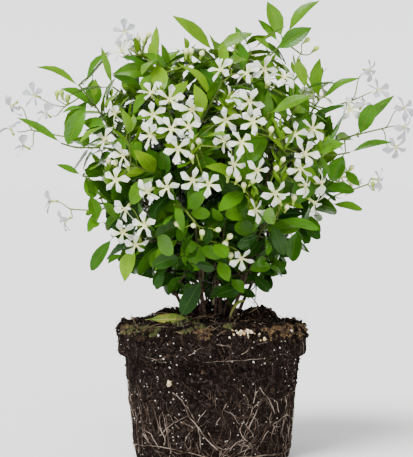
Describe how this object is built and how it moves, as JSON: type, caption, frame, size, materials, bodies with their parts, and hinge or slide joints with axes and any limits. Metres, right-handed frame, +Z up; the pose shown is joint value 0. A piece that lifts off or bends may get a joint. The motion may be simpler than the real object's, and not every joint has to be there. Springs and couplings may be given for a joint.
{
  "type": "star jasmine plant with pot-shaped root ball",
  "caption": "Flowering star jasmine shrub standing on the bare root ball that keeps its pot's shape, with glossy leaf pairs and white pinwheel flowers in sprays.",
  "frame": {"origin": "centre of the root ball's flat base", "axes": "+Z up, along the plant's height; -Y towards the picture's viewer, +X to the viewer's right"},
  "size_m": [0.3619, 0.2486, 0.3999],
  "materials": {
    "soil": "moist peat, rough",
    "root": "pale root, matte",
    "leaf": "glossy leaf",
    "petal": "soft white petal",
    "litter": "yellowed leaf, dull"
  },
  "bodies": {
    "root": {"fallen_leaf": "litter", "flower_spray_01": "petal", "flower_spray_02": "petal", "flower_spray_03": "petal", "flower_spray_04": "petal", "flower_spray_05": "petal", "flower_spray_06": "petal", "flower_spray_07": "petal", "flower_spray_08": "petal", "flower_spray_09": "petal", "flower_spray_10": "petal", "flower_spray_11": "petal", "flower_spray_12": "petal", "flower_spray_13": "petal", "flower_spray_14": "petal", "flower_spray_15": "petal", "flower_spray_16": "petal", "flower_spray_17": "petal", "flower_spray_18": "petal", "flower_spray_19": "petal", "flower_spray_20": "petal", "flower_spray_21": "petal", "flower_spray_22": "petal", "flower_spray_23": "petal", "flower_spray_24": "petal", "flower_spray_25": "petal", "flower_spray_26": "petal", "flower_spray_27": "petal", "flower_spray_28": "petal", "flower_spray_29": "petal", "flower_spray_30": "petal", "flower_spray_31": "petal", "flower_spray_32": "petal", "flower_spray_33": "petal", "flower_spray_34": "petal", "flower_spray_35": "petal", "flower_spray_36": "petal", "flower_spray_37": "petal", "leafy_stem_1": "leaf", "leafy_stem_2": "leaf", "leafy_stem_3": "leaf", "leafy_stem_4": "leaf", "leafy_stem_5": "leaf", "leafy_stem_6": "leaf", "leafy_stem_7": "leaf", "leafy_stem_8": "leaf", "leafy_stem_9": "leaf", "root_ball": "soil", "surface_roots": "root"}
  },
  "joints": []
}
